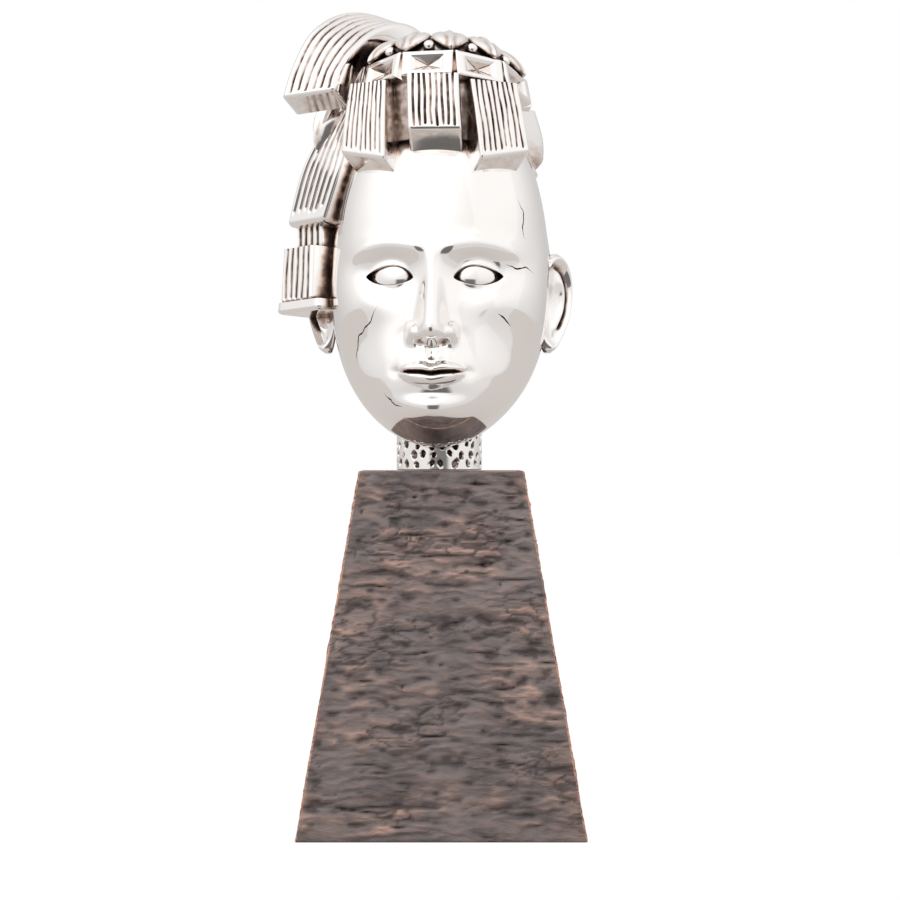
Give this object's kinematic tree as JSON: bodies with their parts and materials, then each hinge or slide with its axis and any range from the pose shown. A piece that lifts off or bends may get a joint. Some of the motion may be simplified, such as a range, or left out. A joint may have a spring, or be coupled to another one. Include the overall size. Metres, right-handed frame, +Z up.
{
  "type": "maya ruler head sculpture",
  "caption": "Sculpted head of a ruler with a plaque headband, fringe and swept crest, on a pitted collar and a tapering square pedestal.",
  "frame": {"origin": "middle of the pedestal's flat underside, on the surface it stands on", "axes": "+Z up along the pedestal, -Y towards the viewer whom the face looks at, +X to that viewer's right"},
  "size_m": [0.1308, 0.1224, 0.3507],
  "materials": {
    "polished_silver": "mirror-polished silver with dark patina left in the grooves",
    "patinated_copper": "hammered copper, patinated dark grey-brown and rubbed bright on the edges"
  },
  "bodies": {
    "root": {"silver_head": "polished_silver", "copper_pedestal": "patinated_copper"}
  },
  "joints": []
}
